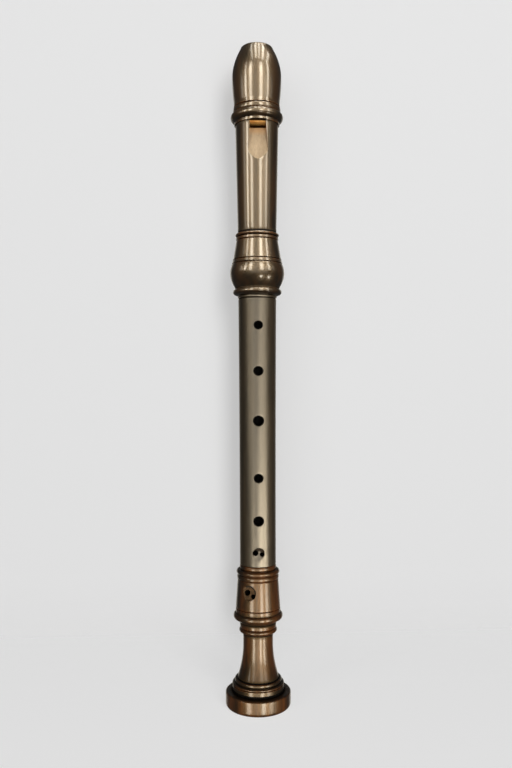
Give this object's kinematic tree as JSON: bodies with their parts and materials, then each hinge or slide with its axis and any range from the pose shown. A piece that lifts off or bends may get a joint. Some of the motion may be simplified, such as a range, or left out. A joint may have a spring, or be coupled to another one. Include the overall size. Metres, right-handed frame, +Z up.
{
  "type": "alto recorder",
  "caption": "Alto recorder of the baroque pattern: turned wooden head with beak and window, slim middle with finger holes, and ringed foot, joined by corked tenons.",
  "frame": {"origin": "centre of the foot's end face, on the bore's axis, with the instrument standing on its foot", "axes": "+Z up the bore towards the beak, -Y the front with the window and the finger holes, +X to the viewer's right"},
  "size_m": [0.0474, 0.0474, 0.4797],
  "materials": {
    "head_wood": "dark bronze-brown wood, polished with oil",
    "middle_wood": "dark olive-brown wood, satin",
    "foot_wood": "dark coppery wood, polished with oil",
    "cedar": "bare red cedar",
    "cork": "bare cork sheet"
  },
  "bodies": {
    "foot": {"foot_joint": "foot_wood"},
    "lower_cork": {"lower_tenon_cork": "cork"},
    "middle": {"middle_joint": "middle_wood"},
    "upper_cork": {"upper_tenon_cork": "cork"},
    "head": {"head_joint": "head_wood"},
    "block": {"block": "cedar"}
  },
  "joints": [
    {"name": "foot_slide", "type": "slide", "parent": "foot", "child": "lower_cork", "axis": [0, 0, 1], "range_m": [0, 0.016]},
    {"name": "foot_twist", "type": "hinge", "parent": "lower_cork", "child": "middle", "pos_m": [0, 0, 0.0963], "axis": [0, 0, 1], "continuous": true},
    {"name": "head_twist", "type": "hinge", "parent": "middle", "child": "upper_cork", "pos_m": [0, 0, 0.3115], "axis": [0, 0, 1], "continuous": true},
    {"name": "head_slide", "type": "slide", "parent": "upper_cork", "child": "head", "axis": [0, 0, 1], "range_m": [0, 0.028]},
    {"name": "block_slide", "type": "slide", "parent": "head", "child": "block", "axis": [0, 0, 1], "range_m": [0, 0.058]}
  ]
}
